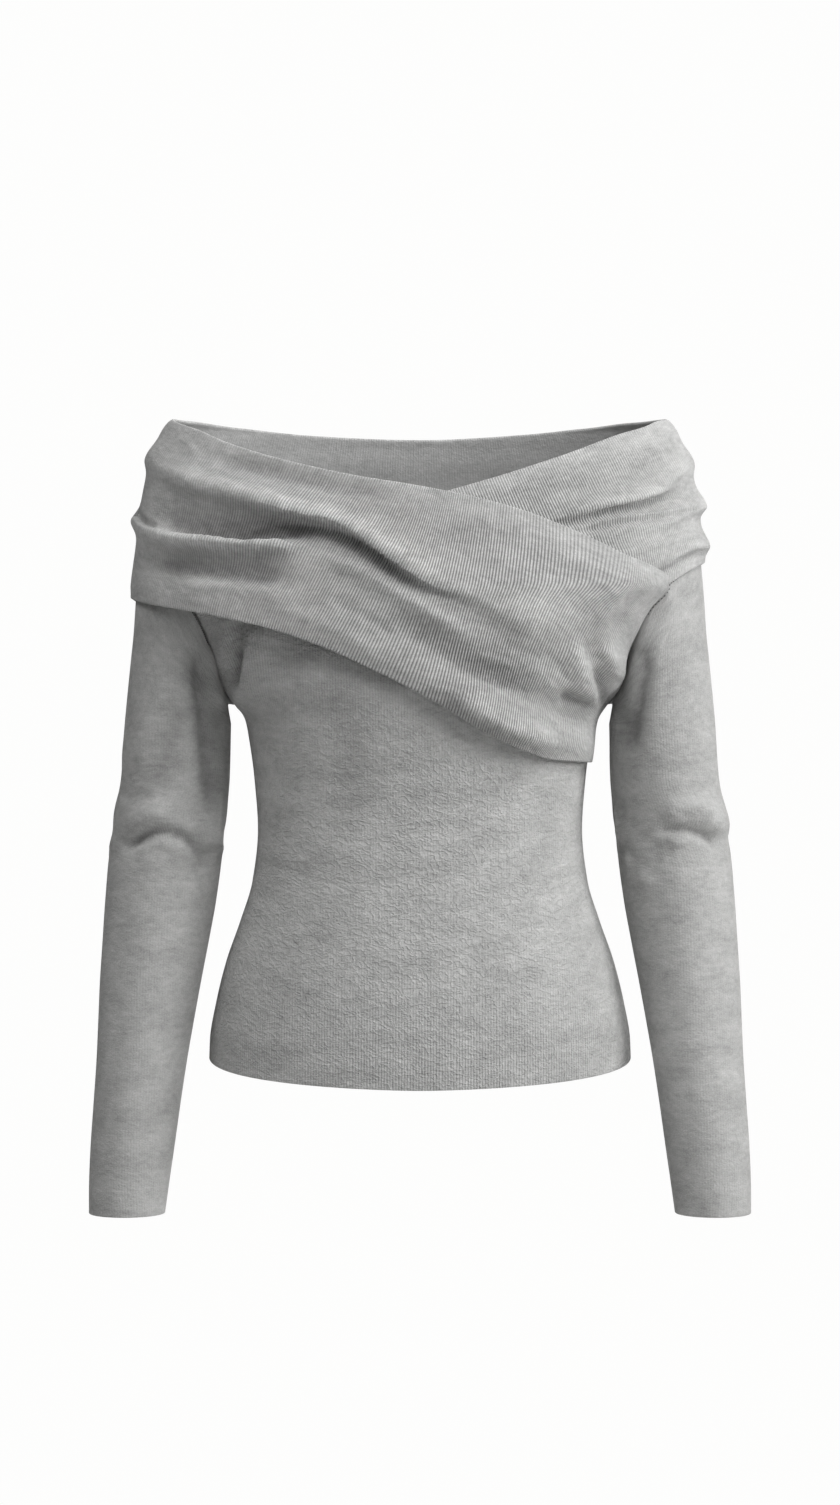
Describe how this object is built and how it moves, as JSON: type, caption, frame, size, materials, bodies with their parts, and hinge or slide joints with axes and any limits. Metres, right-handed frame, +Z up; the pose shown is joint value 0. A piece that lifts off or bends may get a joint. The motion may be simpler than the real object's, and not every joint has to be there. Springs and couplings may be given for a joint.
{
  "type": "off-shoulder top",
  "caption": "Fitted long-sleeved top in fine rib knit, with a wide folded collar that wraps round both arms and crosses in front.",
  "frame": {"origin": "middle of the worn collar, level with the front crossing, where the collar grips both upper arms", "axes": "+Z up along the body, -Y out of the wearer's front, +X towards the wearer's left"},
  "size_m": [0.491, 0.2282, 0.5916],
  "materials": {
    "knit": "fine rib knit in a grey melange, matt"
  },
  "bodies": {
    "root": {"front_panel": "knit", "back_panel": "knit", "sleeve_right": "knit", "sleeve_left": "knit", "collar_over": "knit", "collar_back": "knit", "collar_under": "knit"}
  },
  "joints": []
}
